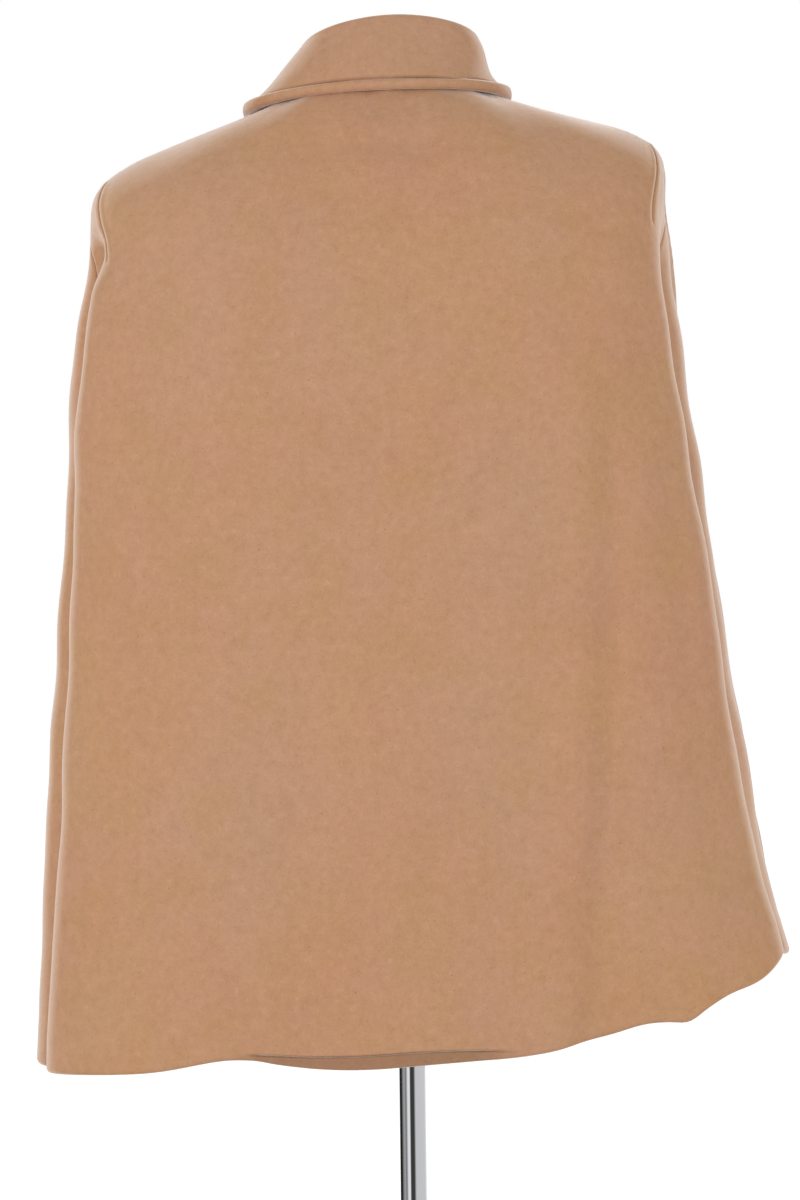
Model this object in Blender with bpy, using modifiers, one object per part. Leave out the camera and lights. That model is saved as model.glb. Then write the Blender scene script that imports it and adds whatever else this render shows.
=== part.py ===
"""A heavy wool cape on a limbless dress form that stands on a chromed pole and a round base.

Frame: metres, +Z up, origin on the floor under the middle of the base plate. The garment faces -Y,
so its back is towards +Y and the wearer's left is +X.

Every ring of the garment is a rounded box. A place on it is an angle in degrees: 0 is the wearer's
left, 90 the centre back, 180 the wearer's right and -90 (or 270) the centre front.
"""

from collections import namedtuple
from math import acos, cos, degrees, exp, radians, sin

import bmesh
import bpy
from mathutils import Matrix, Vector

# ---------------------------------------------------------------- driving dimensions

CLOTH = 0.003            # brushed melton, one layer
COLLAR_CLOTH = 0.0055    # top collar and undercollar together
SEAM_GAP = 0.0006        # between neighbouring pieces, at the outer face
REST_GAP = 0.0003        # between pieces that touch
LAP = 0.060              # width of the fronts' overlap
LAP_RAMP = 0.030         # width over which the upper front climbs onto the lower one

COLLAR_OPENING_NECK = 3   # degrees from the centre front to each end of the collar, at the neck
COLLAR_OPENING_EDGE = 17  # and at the points of the leaf
COLLAR_SHIFT = 0.014     # how far the fold stands nearer the wearer's right than the neck seam
COLLAR_RISE = 0.040      # height over which it gets there

LEAN = 1.7               # degrees that form and cape lean towards the wearer's left
LEAN_HEIGHT = 0.770      # height on the pole about which they lean

POLE_DIAMETER = 0.022
PLATE_DIAMETER = 0.380
PLATE_THICKNESS = 0.010
HUB_DIAMETER = 0.060
HUB_HEIGHT = 0.045
SOCKET_DIAMETER = 0.050
SOCKET_HEIGHT = 0.060
TORSO_BOTTOM = 0.800

BACK_COLUMNS = 36        # faces round the back
FRONT_COLUMNS = 22       # faces round each front
COLLAR_COLUMNS = 40      # faces round the collar
ROWS_PER_SPAN = 2        # faces between two rings of a table

# ---------------------------------------------------------------- tables

Ring = namedtuple(
    "Ring", "name left right back front z_left z_right z_back z_front square seam"
)
# left, right, back, front: how far the ring reaches each way from the garment's own axis
# z_...: its height there; square: 2 is an ellipse, more is boxier
# seam: degrees from the side at which the shoulder-and-side seam crosses the ring
CAPE_RINGS = (
    Ring("neckline", 0.076, 0.076, 0.064, 0.078, 1.399, 1.400, 1.410, 1.350, 2.2, -4),
    Ring("under_collar", 0.115, 0.115, 0.087, 0.104, 1.382, 1.3860, 1.389, 1.322, 2.3, -4),
    Ring("shoulder_mid", 0.168, 0.168, 0.108, 0.128, 1.3655, 1.3715, 1.350, 1.288, 2.5, -4),
    Ring("shoulder_out", 0.212, 0.211, 0.124, 0.146, 1.348, 1.357, 1.310, 1.250, 2.7, -3),
    Ring("shoulder_tip", 0.238, 0.234, 0.134, 0.158, 1.326, 1.337, 1.268, 1.208, 2.9, 0),
    Ring("shoulder_end", 0.2445, 0.2355, 0.138, 0.164, 1.290, 1.298, 1.226, 1.166, 3.0, 6),
    Ring("dart_end", 0.251, 0.240, 0.140, 0.168, 1.250, 1.256, 1.186, 1.126, 3.0, 14),
    Ring("chest", 0.267, 0.2465, 0.141, 0.172, 1.170, 1.170, 1.110, 1.050, 3.0, 17),
    Ring("waist", 0.280, 0.2625, 0.143, 0.178, 1.030, 1.030, 0.990, 0.930, 3.0, 17),
    Ring("hip", 0.295, 0.2785, 0.148, 0.186, 0.880, 0.880, 0.850, 0.800, 3.0, 17),
    Ring("thigh", 0.308, 0.2970, 0.154, 0.194, 0.740, 0.750, 0.720, 0.675, 3.0, 16),
    Ring("hem", 0.319, 0.314, 0.160, 0.200, 0.602, 0.684, 0.609, 0.568, 3.0, 15),
)
COLLAR_RINGS = (
    Ring("neck_seam", 0.0735, 0.0735, 0.0620, 0.0760, 1.4065, 1.4055, 1.4155, 1.3555, 2.2, 0),
    Ring("stand", 0.0690, 0.0690, 0.0580, 0.0760, 1.4220, 1.4230, 1.4370, 1.3680, 2.2, 0),
    Ring("fold_inside", 0.0650, 0.0650, 0.0560, 0.0770, 1.4325, 1.4370, 1.4520, 1.3780, 2.2, 0),
    Ring("fold_top", 0.0735, 0.0710, 0.0625, 0.0830, 1.4425, 1.4430, 1.4580, 1.3815, 2.7, 0),
    Ring("fold_outside", 0.0800, 0.0770, 0.0695, 0.0890, 1.4355, 1.4365, 1.4520, 1.3780, 2.5, 0),
    Ring("fall", 0.0930, 0.0950, 0.0800, 0.1050, 1.4140, 1.4160, 1.4290, 1.3480, 2.3, 0),
    Ring("leaf_edge", 0.1150, 0.1130, 0.0920, 0.1310, 1.3990, 1.4020, 1.4000, 1.3085, 2.3, 0),
)

Fold = namedtuple("Fold", "name place_top place_hem z_top z_hem width_top width_hem depth_top depth_hem")
# place, width: degrees round the ring; depth: + stands out, - sinks in, at the top and at the hem
FOLDS = (
    Fold("left_side_trough", 19, 19, 1.295, 1.100, 7, 7, -0.019, -0.009),
    Fold("left_side_deepens", 19, 19, 1.120, 0.600, 7, 7, -0.009, -0.004),
    Fold("left_side_ridge", 31, 30, 1.270, 1.030, 8, 9, 0.007, 0.000),
    Fold("left_dart_trough", 41, 47, 1.265, 1.000, 5, 8, -0.003, -0.001),
    Fold("right_side_trough", 163, 162, 1.305, 0.700, 9, 7, -0.022, -0.008),
    Fold("right_side_ridge", 149, 149, 1.280, 0.600, 8, 8, 0.003, 0.002),
    Fold("back_ridge", 126, 109, 1.200, 0.560, 3, 4, 0.002, 0.004),
    Fold("back_trough", 131, 114, 1.150, 0.560, 3, 4, -0.003, -0.006),
    Fold("hem_notch", 66, 65, 0.740, 0.560, 3, 3, -0.002, -0.006),
    Fold("left_front_trough", -22, -20, 1.240, 0.540, 8, 9, -0.006, -0.012),
    Fold("left_front_fold", -58, -54, 1.180, 0.540, 8, 9, -0.003, -0.010),
    Fold("right_front_trough", 203, 200, 1.240, 0.560, 8, 9, -0.006, -0.010),
    Fold("right_front_fold", 239, 233, 1.150, 0.540, 8, 10, -0.003, -0.011),
)

Lift = namedtuple("Lift", "name place width height")
# where the hem hangs higher or lower than its ring: degrees round the ring, then metres
HEM_LIFTS = (
    Lift("left_corner", -2, 14, 0.004),
    Lift("left_front_rise", -52, 16, 0.026),
    Lift("back_left_notch", 64, 8, 0.0085),
    Lift("back_middle_dip", 83, 11, -0.004),
    Lift("back_centre_dip", 106, 9, -0.003),
    Lift("back_right_dip", 130, 8, -0.0055),
    Lift("back_right_rise", 122, 4, 0.0035),
    Lift("back_right_corner", 128.5, 2, -0.0030),
    Lift("back_corner_rise", 135, 5.5, 0.0055),
    Lift("right_side_rise", 153, 8, 0.006),
    Lift("right_corner_drop", 178, 12, -0.014),
    Lift("right_front_rise", 215, 21, 0.034),
)
LIFT_FROM = 0.80         # how far down the cape the lifts begin
FOLD_STARTS = 0.14       # share of a fold's length over which it deepens

Section = namedtuple("Section", "name z half back front square")
TORSO_SECTIONS = (
    Section("hip_bottom", 0.800, 0.150, 0.100, 0.090, 2.2),
    Section("hip", 0.900, 0.172, 0.116, 0.104, 2.2),
    Section("waist", 1.030, 0.132, 0.088, 0.092, 2.1),
    Section("chest", 1.170, 0.158, 0.108, 0.132, 2.2),
    Section("underarm", 1.240, 0.176, 0.114, 0.122, 2.4),
    Section("shoulder_end", 1.292, 0.190, 0.104, 0.098, 2.5),
    Section("shoulder", 1.330, 0.165, 0.084, 0.078, 2.4),
    Section("neck_root", 1.362, 0.094, 0.064, 0.060, 2.1),
    Section("neck", 1.392, 0.056, 0.048, 0.048, 2.0),
    Section("neck_top", 1.425, 0.052, 0.046, 0.046, 2.0),
)

# ---------------------------------------------------------------- the shape of the cloth


def between(a, b, c, d, f):
    """A smooth curve through b and c, at fraction f of the way from b to c."""
    return 0.5 * (2 * b + (c - a) * f + (2 * a - 5 * b + 4 * c - d) * f**2 + (3 * b - a - 3 * c + d) * f**3)


def row_at(table, place):
    """The table's numbers at a place between its rows, 0 at the first row and 1 at the last."""
    spans = len(table) - 1
    i = min(int(place * spans), spans - 1)
    f = place * spans - i
    first, last = table[0], table[-1]
    a, b, c, d = (table[max(i - 1, 0)], table[i], table[i + 1], table[min(i + 2, spans)])
    numbers = {
        field: between(getattr(a, field), getattr(b, field), getattr(c, field), getattr(d, field), f)
        for field in first._fields[1:]
    }
    return type(last)(b.name, **numbers)


def smooth(x):
    x = min(max(x, 0.0), 1.0)
    return x * x * (3 - 2 * x)


def ring_point(ring, angle):
    """A point on a ring of the garment and the way out from the cloth there."""
    c, s = cos(radians(angle)), sin(radians(angle))
    scale = (abs(c) ** ring.square + abs(s) ** ring.square) ** (-1 / ring.square)
    across = ring.left if c > 0 else ring.right
    deep = ring.back if s > 0 else ring.front
    z_side = ring.z_left if c > 0 else ring.z_right
    z_deep = ring.z_back if s > 0 else ring.z_front
    point = Vector((across * scale * c, deep * scale * s, z_side * c * c + z_deep * s * s))
    steep = ring.square - 1
    out = Vector((
        abs(scale * c) ** steep / across * (1 if c > 0 else -1),
        abs(scale * s) ** steep / deep * (1 if s > 0 else -1),
        0,
    ))
    return point, out.normalized()


def fold_depth(angle, z):
    """How far all the folds together move the cloth out at an angle and a height."""
    total = 0
    for fold in FOLDS:
        down = (fold.z_top - z) / (fold.z_top - fold.z_hem)
        if down <= 0:
            continue
        reach = min(down, 1.0)
        place = fold.place_top + (fold.place_hem - fold.place_top) * reach
        width = fold.width_top + (fold.width_hem - fold.width_top) * reach
        depth = fold.depth_top + (fold.depth_hem - fold.depth_top) * reach
        starts = smooth(down / FOLD_STARTS)
        total += depth * starts * exp(-(((angle - place) / width) ** 2))
    return total


def hem_lift(down, angle):
    """How much higher the cloth hangs near the hem than its ring says."""
    near_hem = smooth((down - LIFT_FROM) / (1 - LIFT_FROM))
    return near_hem * sum(
        lift.height * exp(-(((angle - lift.place) / lift.width) ** 2)) for lift in HEM_LIFTS
    )


def cape_point(down, angle):
    """A point on the cape's outer face: down is 0 at the neckline and 1 at the hem."""
    point, out = ring_point(row_at(CAPE_RINGS, down), angle)
    depth = fold_depth(angle, point.z)
    return point + out * depth + Vector((0, 0, hem_lift(down, angle)))


def cape_out(down, angle):
    """The way straight out of the cape's outer face at a point."""
    step = 0.004
    up = cape_point(max(down - step, 0), angle) - cape_point(min(down + step, 1), angle)
    along = cape_point(down, angle + 1) - cape_point(down, angle - 1)
    return along.cross(up).normalized()


def leaned(point):
    """A point of the garment's own frame, moved to where the leaning form holds it."""
    return LEAN_TURN @ point


LEAN_TURN = (
    Matrix.Translation((0, 0, LEAN_HEIGHT))
    @ Matrix.Rotation(radians(LEAN), 4, "Y")
    @ Matrix.Translation((0, 0, -LEAN_HEIGHT))
)

# ---------------------------------------------------------------- helpers


def clear_scene():
    for item in list(bpy.data.objects):
        bpy.data.objects.remove(item, do_unlink=True)


def material(name, colour, roughness, metallic=0.0):
    mat = bpy.data.materials.new(name)
    mat.use_nodes = True
    shader = mat.node_tree.nodes["Principled BSDF"]
    shader.inputs["Base Color"].default_value = (*colour, 1)
    shader.inputs["Roughness"].default_value = roughness
    shader.inputs["Metallic"].default_value = metallic
    return mat


def keep(name, mesh, mat, collection):
    """A new object for a mesh, in the part's collection, shaded smooth up to a 40 degree corner."""
    mesh.materials.append(mat)
    mesh.shade_smooth()
    mesh.set_sharp_from_angle(angle=radians(40))
    item = bpy.data.objects.new(name, mesh)
    collection.objects.link(item)
    return item


def sheet(name, columns, rows, place, thickness, mat, collection):
    """An open grid bent to place(across, down), both 0 to 1, and thickened towards its inside."""
    bm = bmesh.new()
    bmesh.ops.create_grid(bm, x_segments=columns, y_segments=rows, size=0.5)
    for vert in bm.verts:
        vert.co = place(vert.co.x + 0.5, 0.5 - vert.co.y)
    mesh = bpy.data.meshes.new(name)
    bm.to_mesh(mesh)
    bm.free()
    item = keep(name, mesh, mat, collection)
    wall = item.modifiers.new("wall", "SOLIDIFY")
    wall.thickness = thickness
    wall.offset = -1
    return item


def turned(name, profile, mat, collection, sides=32):
    """A solid turned about Z from (radius, height) points, from the top down to the bottom."""
    mesh = bpy.data.meshes.new(name)
    points = [(r, 0, z) for r, z in profile]
    mesh.from_pydata(points, [(i, i + 1) for i in range(len(points) - 1)], [])
    item = keep(name, mesh, mat, collection)
    screw = item.modifiers.new("turn", "SCREW")
    screw.steps = screw.render_steps = sides
    screw.use_merge_vertices = True
    screw.merge_threshold = 0.0001
    screw.use_smooth_shade = True
    return item


# ---------------------------------------------------------------- the cape


def seam_place(down, side):
    """The angle of the shoulder-and-side seam: side is 1 on the wearer's left, -1 on the right."""
    seam = row_at(CAPE_RINGS, down).seam
    return seam if side > 0 else 180 - seam


def gap_angle(down):
    """Half the seam gap as an angle, on the ring at a place down the cape."""
    ring = row_at(CAPE_RINGS, down)
    return degrees(SEAM_GAP / 2 / ((ring.back + ring.front) / 2))


def make_back(mat, collection):
    def place(across, down):
        start = seam_place(down, 1) + gap_angle(down)
        end = seam_place(down, -1) - gap_angle(down)
        return leaned(cape_point(down, start + (end - start) * across))

    rows = ROWS_PER_SPAN * (len(CAPE_RINGS) - 1)
    return sheet("back", BACK_COLUMNS, rows, place, CLOTH, mat, collection)


def lap_angle(down, over):
    """The angle of a front's free edge, half the lap beyond the centre front."""
    ring = row_at(CAPE_RINGS, down)
    reach = ring.right if over < 0 else ring.left
    return -degrees(acos(LAP / 2 / reach)) if over > 0 else -180 + degrees(acos(LAP / 2 / reach))


def make_front(side, mat, collection):
    """side 1 is the left front, which lies under; -1 the right front, which laps over it."""

    def place(across, down):
        seam = seam_place(down, side)
        if side > 0:
            start = lap_angle(down, -1)
            end = seam - gap_angle(down)
        else:
            start = seam + gap_angle(down)
            end = 360 + lap_angle(down, 1)
        angle = start + (end - start) * across
        point = cape_point(down, angle)
        if side < 0:
            climb = smooth((point.x + LAP / 2 + LAP_RAMP) / LAP_RAMP)
            point += cape_out(down, angle) * (CLOTH + 3 * REST_GAP) * climb
        return leaned(point)

    rows = ROWS_PER_SPAN * (len(CAPE_RINGS) - 1)
    name = "front_left" if side > 0 else "front_right"
    return sheet(name, FRONT_COLUMNS, rows, place, CLOTH, mat, collection)


def collar_seam(angle):
    """Height of the neck seam at an angle."""
    return ring_point(COLLAR_RINGS[0], angle)[0].z


def make_collar(mat, collection):
    """One folded strip round the neck, open at the centre front."""

    def place(across, down):
        opening = COLLAR_OPENING_NECK + (COLLAR_OPENING_EDGE - COLLAR_OPENING_NECK) * down
        angle = -90 + opening + (360 - 2 * opening) * across
        point, _ = ring_point(row_at(COLLAR_RINGS, down), angle)
        risen = smooth((point.z - collar_seam(angle)) / COLLAR_RISE)
        return leaned(point - Vector((COLLAR_SHIFT * risen, 0, 0)))

    rows = ROWS_PER_SPAN * (len(COLLAR_RINGS) - 1)
    return sheet("collar", COLLAR_COLUMNS, rows, place, COLLAR_CLOTH, mat, collection)


# ---------------------------------------------------------------- the dress form


def make_torso(mat, collection):
    """A round body with its poles pulled flat, each latitude sized by the section table."""
    name = "form_torso"
    rings = 2 * (len(TORSO_SECTIONS) - 1)
    bm = bmesh.new()
    bmesh.ops.create_uvsphere(bm, u_segments=28, v_segments=rings + 2, radius=1)
    step = radians(180) / (rings + 2)
    for vert in bm.verts:
        level = (radians(180) - acos(max(-1, min(1, vert.co.z)))) / step - 1
        pole = level < -0.5 or level > rings + 0.5
        section = row_at(TORSO_SECTIONS, min(max(level / rings, 0), 1))
        if pole:
            vert.co = leaned(Vector((0, 0, section.z)))
            continue
        flat = Vector((vert.co.x, vert.co.y)).normalized()
        scale = (abs(flat.x) ** section.square + abs(flat.y) ** section.square) ** (-1 / section.square)
        deep = section.back if flat.y > 0 else section.front
        vert.co = leaned(Vector((section.half * scale * flat.x, deep * scale * flat.y, section.z)))
    mesh = bpy.data.meshes.new(name)
    bm.to_mesh(mesh)
    bm.free()
    return keep(name, mesh, mat, collection)


def lean_object(item):
    item.matrix_world = LEAN_TURN
    return item


def make_neck_cap(mat, collection):
    top = TORSO_SECTIONS[-1]
    radius = top.back
    low = top.z + REST_GAP
    profile = (
        (0, low + 0.016),
        (radius * 0.55, low + 0.014),
        (radius * 0.9, low + 0.009),
        (radius, low + 0.004),
        (radius, low),
        (0, low),
    )
    return lean_object(turned("neck_cap", profile, mat, collection))


def make_socket(mat, collection):
    radius = SOCKET_DIAMETER / 2
    top = TORSO_BOTTOM - 0.006
    profile = (
        (0, top),
        (radius, top),
        (radius, top - SOCKET_HEIGHT * 0.6),
        (radius * 0.7, top - SOCKET_HEIGHT),
        (0, top - SOCKET_HEIGHT),
    )
    return lean_object(turned("pole_socket", profile, mat, collection, sides=32))


def make_pole(mat, collection):
    radius = POLE_DIAMETER / 2
    top = TORSO_BOTTOM - 0.006 - SOCKET_HEIGHT - 0.0015
    low = PLATE_THICKNESS + HUB_HEIGHT + REST_GAP
    profile = ((0, top), (radius, top), (radius, low), (0, low))
    return turned("pole", profile, mat, collection, sides=32)


def make_base(plate_mat, hub_mat, collection):
    edge = 0.003
    radius = PLATE_DIAMETER / 2
    plate = (
        (0, PLATE_THICKNESS),
        (radius - edge, PLATE_THICKNESS),
        (radius, PLATE_THICKNESS - edge),
        (radius, 0),
        (0, 0),
    )
    turned("base_plate", plate, plate_mat, collection, sides=48)
    low = PLATE_THICKNESS + REST_GAP
    top = PLATE_THICKNESS + HUB_HEIGHT
    wide, narrow = HUB_DIAMETER / 2, POLE_DIAMETER * 0.8
    hub = ((0, top), (narrow, top), (narrow, low + 0.018), (wide, low + 0.006), (wide, low), (0, low))
    turned("base_hub", hub, hub_mat, collection)


def main():
    clear_scene()
    collection = bpy.data.collections.new("wool_cape")
    bpy.context.scene.collection.children.link(collection)
    wool = material("camel_wool", (0.51, 0.29, 0.155), 0.95)
    cover = material("form_cover", (0.78, 0.75, 0.69), 0.9)
    chrome = material("chrome", (0.83, 0.83, 0.84), 0.1, 1.0)
    steel = material("brushed_steel", (0.6, 0.6, 0.61), 0.35, 1.0)
    make_back(wool, collection)
    make_front(1, wool, collection)
    make_front(-1, wool, collection)
    make_collar(wool, collection)
    make_torso(cover, collection)
    make_neck_cap(steel, collection)
    make_socket(steel, collection)
    make_pole(chrome, collection)
    make_base(steel, chrome, collection)


main()
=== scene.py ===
# %% [markdown]
# # A camel wool cape on a dress form
#
# This lesson dresses a plain, measured frame. The frame already holds the right sizes: a cape of
# heavy brushed wool with a turned-down collar, on a limbless form with a chromed pole and a round
# base. Here each piece of cloth is cut again as a fine sheet on the same form, with its turned hem,
# seams, darts and soft folds, and every surface gets a finish made from nodes.

# %% Load the frame
from collections import namedtuple
from math import pi, radians

import bmesh
import bpy
import numpy as np
from mathutils import Matrix, Vector


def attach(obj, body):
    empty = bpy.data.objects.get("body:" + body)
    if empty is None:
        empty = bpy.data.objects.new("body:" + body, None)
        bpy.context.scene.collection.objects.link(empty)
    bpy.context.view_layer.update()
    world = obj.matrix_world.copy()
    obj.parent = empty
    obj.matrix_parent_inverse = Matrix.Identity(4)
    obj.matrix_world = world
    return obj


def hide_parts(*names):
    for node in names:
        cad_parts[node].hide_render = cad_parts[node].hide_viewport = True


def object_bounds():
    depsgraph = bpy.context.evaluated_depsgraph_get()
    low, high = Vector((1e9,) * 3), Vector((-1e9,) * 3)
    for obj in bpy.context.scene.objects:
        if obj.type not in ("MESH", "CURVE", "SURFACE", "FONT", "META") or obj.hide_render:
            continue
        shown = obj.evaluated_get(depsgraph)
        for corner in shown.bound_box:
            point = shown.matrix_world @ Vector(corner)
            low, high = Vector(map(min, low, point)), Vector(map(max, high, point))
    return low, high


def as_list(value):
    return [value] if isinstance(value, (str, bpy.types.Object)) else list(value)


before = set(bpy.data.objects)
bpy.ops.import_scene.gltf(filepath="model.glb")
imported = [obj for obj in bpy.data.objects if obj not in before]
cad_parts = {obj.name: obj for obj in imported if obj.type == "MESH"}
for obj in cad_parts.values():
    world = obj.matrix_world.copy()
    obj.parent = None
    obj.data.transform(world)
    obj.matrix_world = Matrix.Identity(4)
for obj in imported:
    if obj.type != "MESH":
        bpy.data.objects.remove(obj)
cad_low, cad_high = [[float(n) for n in corner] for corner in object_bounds()]
scene = bpy.context.scene

# %% [markdown]
# ## The camera
#
# The cape is seen from behind, square on, from the height of its middle. A long lens from nearly
# three metres keeps the shoulders and the hem in true proportion; a short lens close by would
# swell whatever is nearest. The camera is a hair out of level, as a hand-set tripod is.

# %% Camera
CAMERA_AWAY = 2.8
CAMERA_HEIGHT = 0.95
CAMERA_LENS = 100
CAMERA_UP = 0.55
CAMERA_PAN = 0.115
CAMERA_ROLL = 0.7


def turn(degrees, axis):
    return Matrix.Rotation(radians(degrees), 4, axis)


camera_data = bpy.data.cameras.new("back_view")
camera_data.lens = CAMERA_LENS
camera = bpy.data.objects.new("back_view", camera_data)
camera.matrix_world = (
    Matrix.Translation((0, CAMERA_AWAY, CAMERA_HEIGHT))
    @ turn(180 + CAMERA_PAN, "Z")
    @ turn(90 + CAMERA_UP, "X")
    @ turn(-CAMERA_ROLL, "Z")
)
scene.collection.objects.link(camera)
scene.camera = camera
print("camera", CAMERA_AWAY, "m behind the pole,", CAMERA_LENS, "mm lens")

# %% [markdown]
# ## The studio
#
# Clothes on sale are lit almost evenly, against white. A white surround does most of the work,
# one big soft light on the left gives the folds a side, and a weaker one on the right keeps them
# open. Chrome only looks like chrome when it has something dark to mirror, so mirrored rays see a
# room with dark and pale uprights, while the eye and the cloth see plain white. The room is a
# table of stops: how far round the horizon, from 0 to 1, and how bright.

# %% Studio
WHITE = (1.0, 1.0, 1.0, 1)
SURROUND = 1.0
SKY_LEVEL = 0.86
SKY_BACK = 0.40
SKY_TOP = 0.06
ROOM_STOPS = (
    (0.000, 0.02), (0.185, 0.02), (0.225, 0.22), (0.280, 0.42), (0.318, 0.20), (0.345, 0.34),
    (0.372, 0.82), (0.422, 0.86), (0.436, 0.12), (0.455, 0.05), (0.525, 0.05), (0.545, 0.30),
    (0.568, 0.64), (0.830, 0.66), (0.930, 0.95), (1.000, 1.00),
)


def soft_light(name, place, aim, size, power):
    data = bpy.data.lights.new(name, "AREA")
    data.shape = "DISK"
    data.size = size
    data.energy = power
    light = bpy.data.objects.new(name, data)
    light.location = place
    away = light.location - Vector(aim)
    light.rotation_euler = away.to_track_quat("Z", "Y").to_euler()
    light.visible_glossy = False
    scene.collection.objects.link(light)


CAPE_MIDDLE = (0, 0, 1.0)
soft_light("key", (2.7, 2.6, 1.5), CAPE_MIDDLE, 1.4, 56)
soft_light("fill", (-2.4, 2.8, 1.2), CAPE_MIDDLE, 1.8, 42)
scene.view_settings.view_transform = "Standard"
print("lights", [o.name for o in scene.objects if o.type == "LIGHT"])

# %% [markdown]
# ## Writing materials as sums
#
# Node trees are easier to read as arithmetic. `Value` wraps one output socket, so `mask * 0.5 + 1`
# adds the Math nodes itself. `Finish` holds one material; its `node` method is the only way a node
# is made, and its `blend` mixes colours, because a Math node would turn a colour grey.

# %% Values and finishes
class Value:
    """One output socket, for arithmetic."""

    def __init__(self, finish, socket):
        self.finish = finish
        self.socket = socket

    def sum(self, operation, first, second):
        return self.finish.node("ShaderNodeMath", {"operation": operation}, {0: first, 1: second})

    def __add__(self, other):
        return self.sum("ADD", self, other)

    def __sub__(self, other):
        return self.sum("SUBTRACT", self, other)

    def __rsub__(self, other):
        return self.sum("SUBTRACT", other, self)

    def __mul__(self, other):
        return self.sum("MULTIPLY", self, other)



class Finish:
    """One material, or the world, with its nodes."""

    def __init__(self, name, owner=None):
        self.owner = owner or bpy.data.materials.new(name)
        self.owner.use_nodes = True
        self.tree = self.owner.node_tree
        self.shader = self.tree.nodes.get("Principled BSDF")

    def node(self, kind, settings=None, sockets=None, output=0):
        made = self.tree.nodes.new(kind)
        for key, value in (settings or {}).items():
            if key == "stops":
                self.set_stops(made.color_ramp, value)
            else:
                setattr(made, key, value)
        for key, value in (sockets or {}).items():
            self.plug(made.inputs[key], value)
        return Value(self, made.outputs[output])

    def set_stops(self, ramp, stops):
        while len(ramp.elements) < len(stops):
            ramp.elements.new(1)
        for element, (place, colour) in zip(ramp.elements, stops):
            element.position = place
            element.color = (*colour, 1) if isinstance(colour, tuple) else (colour,) * 3 + (1,)

    def plug(self, socket, value):
        if isinstance(value, Value):
            self.tree.links.new(value.socket, socket)
        else:
            socket.default_value = value

    def surface(self, sockets):
        """Sets the Principled shader's sockets by their names in Blender."""
        for key, value in sockets.items():
            self.plug(self.shader.inputs[key], value)

    def grey(self, value):
        return self.node("ShaderNodeCombineColor", {}, {0: value, 1: value, 2: value})

    def blend(self, share, first, second):
        sockets = {0: share, 6: first, 7: second}
        return self.node("ShaderNodeMix", {"data_type": "RGBA"}, sockets, 2)

    def place(self, kind="Object"):
        return self.node("ShaderNodeTexCoord", output=kind)

    def stretched(self, where, scale, rotation=0.0):
        sockets = {"Vector": where, "Scale": scale, "Rotation": (0, 0, radians(rotation))}
        return self.node("ShaderNodeMapping", {}, sockets)

    def noise(self, where, scale, detail=2.0, roughness=0.5):
        sockets = {"Vector": where, "Scale": scale, "Detail": detail, "Roughness": roughness}
        return self.node("ShaderNodeTexNoise", {}, sockets)

    def ramp(self, value, stops):
        return self.node("ShaderNodeValToRGB", {"stops": stops}, {"Fac": value})

    def raised(self, height, distance):
        """A bump whose heights are shares of the distance, in metres."""
        sockets = {"Height": height, "Distance": distance, "Strength": 1.0}
        self.surface({"Normal": self.node("ShaderNodeBump", {}, sockets)})


def colour(red, green, blue):
    """A screen colour, 0 to 255, as the light that Blender mixes."""
    shares = [n / 255 for n in (red, green, blue)]
    return (*[n / 12.92 if n <= 0.04045 else ((n + 0.055) / 1.055) ** 2.4 for n in shares], 1)


print("camel in linear light", [round(n, 3) for n in colour(190, 146, 110)[:3]])

# %% [markdown]
# ## The surround
#
# The world is white wherever the eye or the cloth looks. Only mirrored rays see the ramp of
# uprights, laid round the horizon by the ray's own direction.

# %% World
world = bpy.data.worlds.new("studio")
scene.world = world
sky = Finish("studio", world)
direction = sky.node("ShaderNodeTexCoord", output="Generated")
east, north, up = (sky.node("ShaderNodeSeparateXYZ", {}, {"Vector": direction}, k) for k in "XYZ")
heading = east.sum("ARCTAN2", east, north)
room = sky.ramp(1 - (heading * (0.5 / pi) + 0.5), ROOM_STOPS)
soft = SKY_LEVEL - north * SKY_BACK - up * up * SKY_TOP
seen = sky.node("ShaderNodeLightPath", output="Is Camera Ray")
mirrored = sky.node("ShaderNodeLightPath", output="Is Glossy Ray")
light = sky.blend(mirrored, sky.grey(soft), room)
light = sky.blend(seen, light, WHITE)
background = sky.tree.nodes["Background"]
sky.plug(background.inputs["Color"], light)
sky.plug(background.inputs["Strength"], SURROUND)
print("world", len(sky.tree.nodes), "nodes")

# %% [markdown]
# ## The floor
#
# A plain pale floor, wide enough that its far edge is out of every view. It carries no pattern:
# its only work is to hold the stand's shadow.

# %% Floor
FLOOR_SIZE = 60
FLOOR_DROP = 0.0005
FLOOR_GLOW = 0.42

bpy.ops.mesh.primitive_plane_add(size=FLOOR_SIZE, location=(0, 0, cad_low[2] - FLOOR_DROP))
floor = bpy.context.object
floor.name = "floor"
paper = Finish("paper")
grain = paper.noise(paper.place(), 3.0, 3)
straight = paper.node("ShaderNodeLightPath", output="Is Camera Ray")
paper.surface({
    "Base Color": paper.blend(grain, colour(226, 226, 226), colour(232, 232, 232)),
    "Roughness": 0.9,
    "Emission Color": paper.blend(straight, (0.0, 0.0, 0.0, 1), (1.0, 1.0, 1.0, 1)),
    "Emission Strength": FLOOR_GLOW,
})
floor.data.materials.append(paper.owner)
floor.visible_glossy = False

# %% [markdown]
# ## The cape's own shape
#
# A cape hangs in rings. Each ring is a rounded box, given by how far it reaches left, right, back
# and front, and by its height at those places. Twelve rings from the neckline to the hem are
# enough, because a smooth curve runs down through them. An angle says where on a ring a point is:
# 0 is the wearer's left, 90 the centre back, 180 the wearer's right, and 270 the centre front.

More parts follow.
